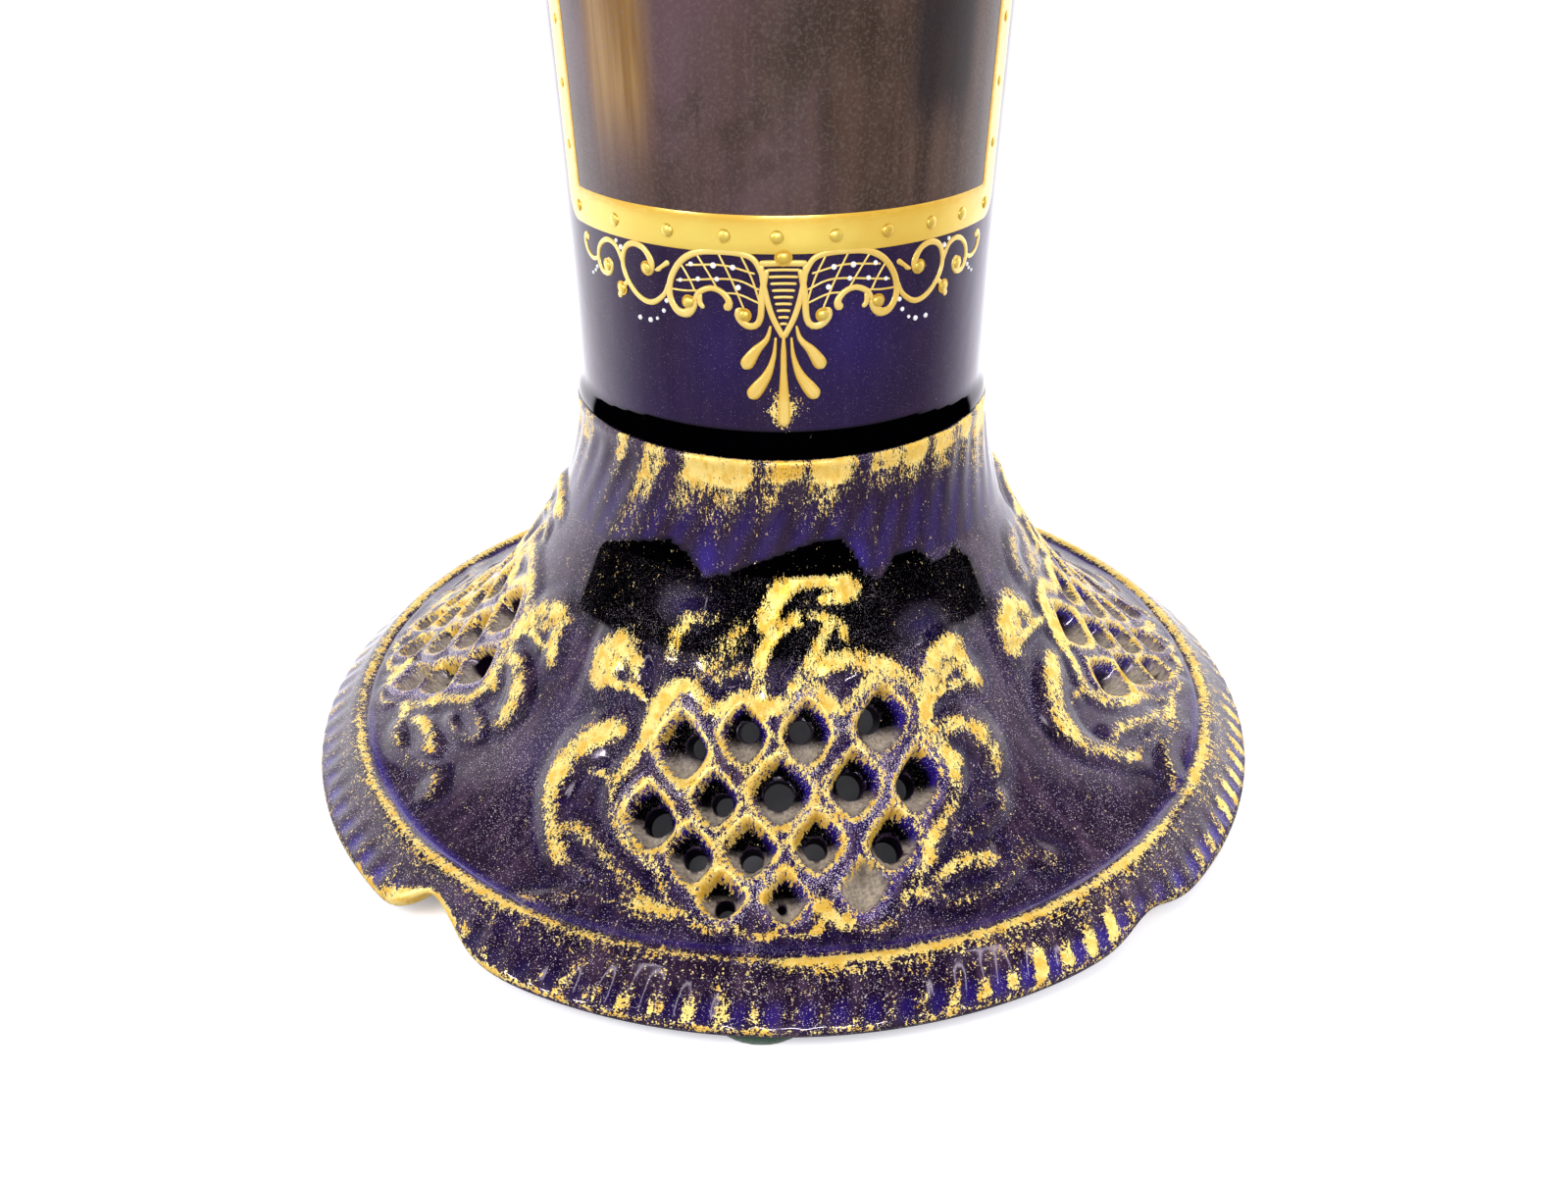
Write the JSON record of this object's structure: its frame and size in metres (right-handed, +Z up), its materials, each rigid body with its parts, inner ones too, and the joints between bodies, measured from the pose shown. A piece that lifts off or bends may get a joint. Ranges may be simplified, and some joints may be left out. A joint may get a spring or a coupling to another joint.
{
  "type": "vase",
  "caption": "Tall tapered tube vase with a flared mouth, bolted into the collar of a flared round foot with pierced diamond lattice panels.",
  "frame": {"origin": "on the supporting surface, under the centre of the vase", "axes": "+Z up along the vase's axis, -Y towards the framed front panel, +X to the viewer's right"},
  "size_m": [0.1518, 0.1518, 0.3392],
  "materials": {
    "cobalt_glaze": "deep cobalt glaze, glossy, with sponged and painted gilding",
    "seal_rubber": "matt",
    "bolt_brass": "satin",
    "washer_steel": "satin",
    "green_felt": "pressed felt"
  },
  "bodies": {
    "root": {"foot": "cobalt_glaze", "body": "cobalt_glaze", "seat_gasket": "seal_rubber", "tie_bolt": "bolt_brass", "head_seal": "seal_rubber", "head_washer": "washer_steel", "nut_seal": "seal_rubber", "nut_washer": "washer_steel", "bolt_nut": "bolt_brass", "felt_pad_front": "green_felt", "felt_pad_right": "green_felt", "felt_pad_back": "green_felt", "felt_pad_left": "green_felt"}
  },
  "joints": []
}
